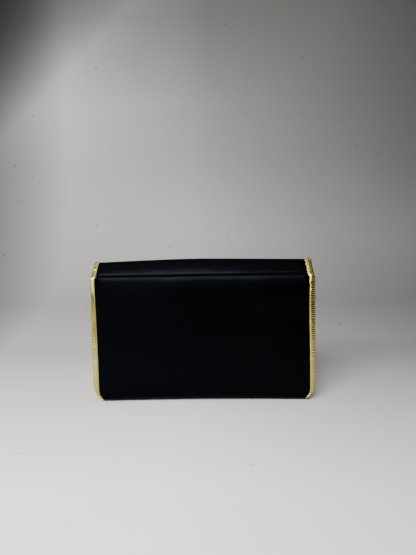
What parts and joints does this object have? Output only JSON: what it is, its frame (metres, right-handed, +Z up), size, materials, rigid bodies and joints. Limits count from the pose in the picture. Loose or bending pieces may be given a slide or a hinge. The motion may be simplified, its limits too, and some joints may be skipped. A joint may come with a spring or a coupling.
{
  "type": "clutch purse",
  "caption": "Structured rectangular evening clutch in black satin with gold-bound side edges, a full-length flap with a magnetic snap, and folding gussets.",
  "frame": {"origin": "centre of the bounding box at the flat underside of the base, where the bag rests", "axes": "+X to the bag's right seen from the front, -Y out of the front, +Z up"},
  "size_m": [0.225, 0.0402, 0.1418],
  "materials": {
    "black_satin": "satin weave, soft sheen",
    "lining": "twill lining",
    "gold_leather": "metallic foil, ribbed",
    "wadding": "soft felt",
    "board": "plain",
    "snap_gold": "polished plating",
    "steel": "plain",
    "magnet": "plated"
  },
  "bodies": {
    "flap": {"flap_satin": "black_satin", "flap_wadding": "wadding", "flap_board": "board", "flap_lining": "lining", "flap_binding_left": "gold_leather", "flap_binding_right": "gold_leather", "snap_plate": "snap_gold", "snap_stud": "snap_gold", "snap_plate_back": "steel"},
    "spine": {"spine_satin": "black_satin", "spine_wadding": "wadding", "spine_board": "board", "spine_lining": "lining", "spine_binding_left": "gold_leather", "spine_binding_right": "gold_leather", "lip_fold_tape": "black_satin"},
    "body": {"back_satin": "black_satin", "back_wadding": "wadding", "back_board": "board", "back_lining": "lining", "back_binding_left": "gold_leather", "back_binding_right": "gold_leather", "base_satin": "black_satin", "base_board": "board", "base_lining": "lining", "ridge_fold_tape": "black_satin", "front_fold_tape": "black_satin", "rear_fold_tape": "black_satin", "gusset_left": "black_satin", "gusset_right": "black_satin", "pocket_panel": "lining", "pocket_tape": "gold_leather"},
    "front": {"front_satin": "black_satin", "front_wadding": "wadding", "front_board": "board", "front_lining": "lining", "snap_socket": "snap_gold", "snap_magnet": "magnet", "snap_socket_back": "steel"}
  },
  "joints": [
    {"name": "spine_fold", "type": "hinge", "parent": "body", "child": "spine", "pos_m": [0, 0.00609, 0.1392], "axis": [-1, 0, 0], "range_deg": [0, 170]},
    {"name": "flap_fold", "type": "hinge", "parent": "spine", "child": "flap", "pos_m": [0, -0.00876, 0.1255], "axis": [-1, 0, 0], "range_deg": [0, 75]},
    {"name": "mouth_open", "type": "hinge", "parent": "body", "child": "front", "pos_m": [0, -0.01019, 0.0018], "axis": [1, 0, 0], "range_deg": [0, 10], "deforming": ["gusset_left", "gusset_right"]}
  ],
  "couplings": [
    {"joint": "mouth_open", "follows": "spine_fold", "ratio": 0.0583}
  ]
}
